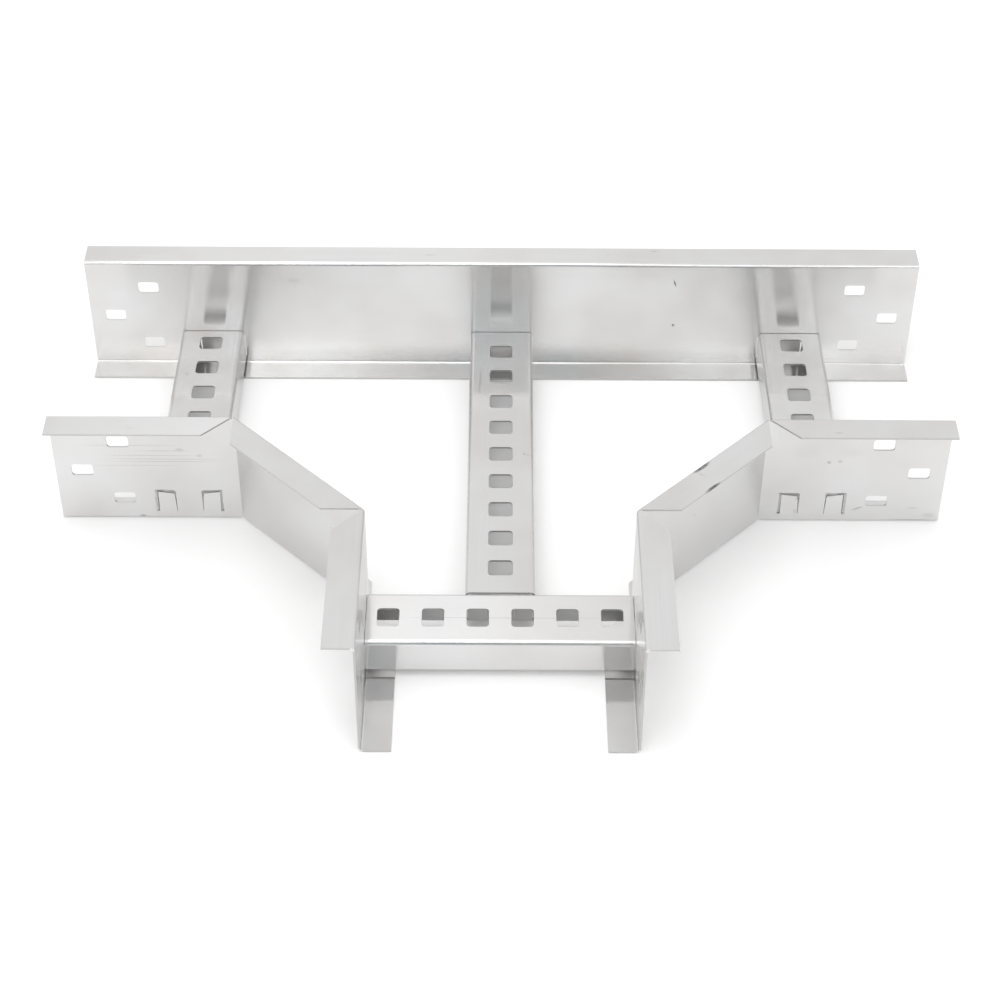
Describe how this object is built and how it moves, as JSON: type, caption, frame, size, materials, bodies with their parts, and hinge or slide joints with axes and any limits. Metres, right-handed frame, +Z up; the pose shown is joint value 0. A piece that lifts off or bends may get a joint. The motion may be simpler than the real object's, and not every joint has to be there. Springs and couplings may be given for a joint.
{
  "type": "cable tray tee",
  "caption": "Equal tee for a ladder cable tray: a straight and two bent Z-section side rails joined by slotted channel rungs, with splice slots at its ends.",
  "frame": {"origin": "middle of the tee's footprint, on the floor under the bottom flanges", "axes": "+X along the run, -Y towards the branch's open end, +Z up"},
  "size_m": [0.7, 0.4735, 0.106],
  "materials": {
    "mill_aluminium": "bright mill-finish rolled sheet"
  },
  "bodies": {
    "root": {"back_rail": "mill_aluminium", "left_corner_rail": "mill_aluminium", "right_corner_rail": "mill_aluminium", "left_rung": "mill_aluminium", "right_rung": "mill_aluminium", "centre_rung": "mill_aluminium", "branch_rung": "mill_aluminium"}
  },
  "joints": []
}
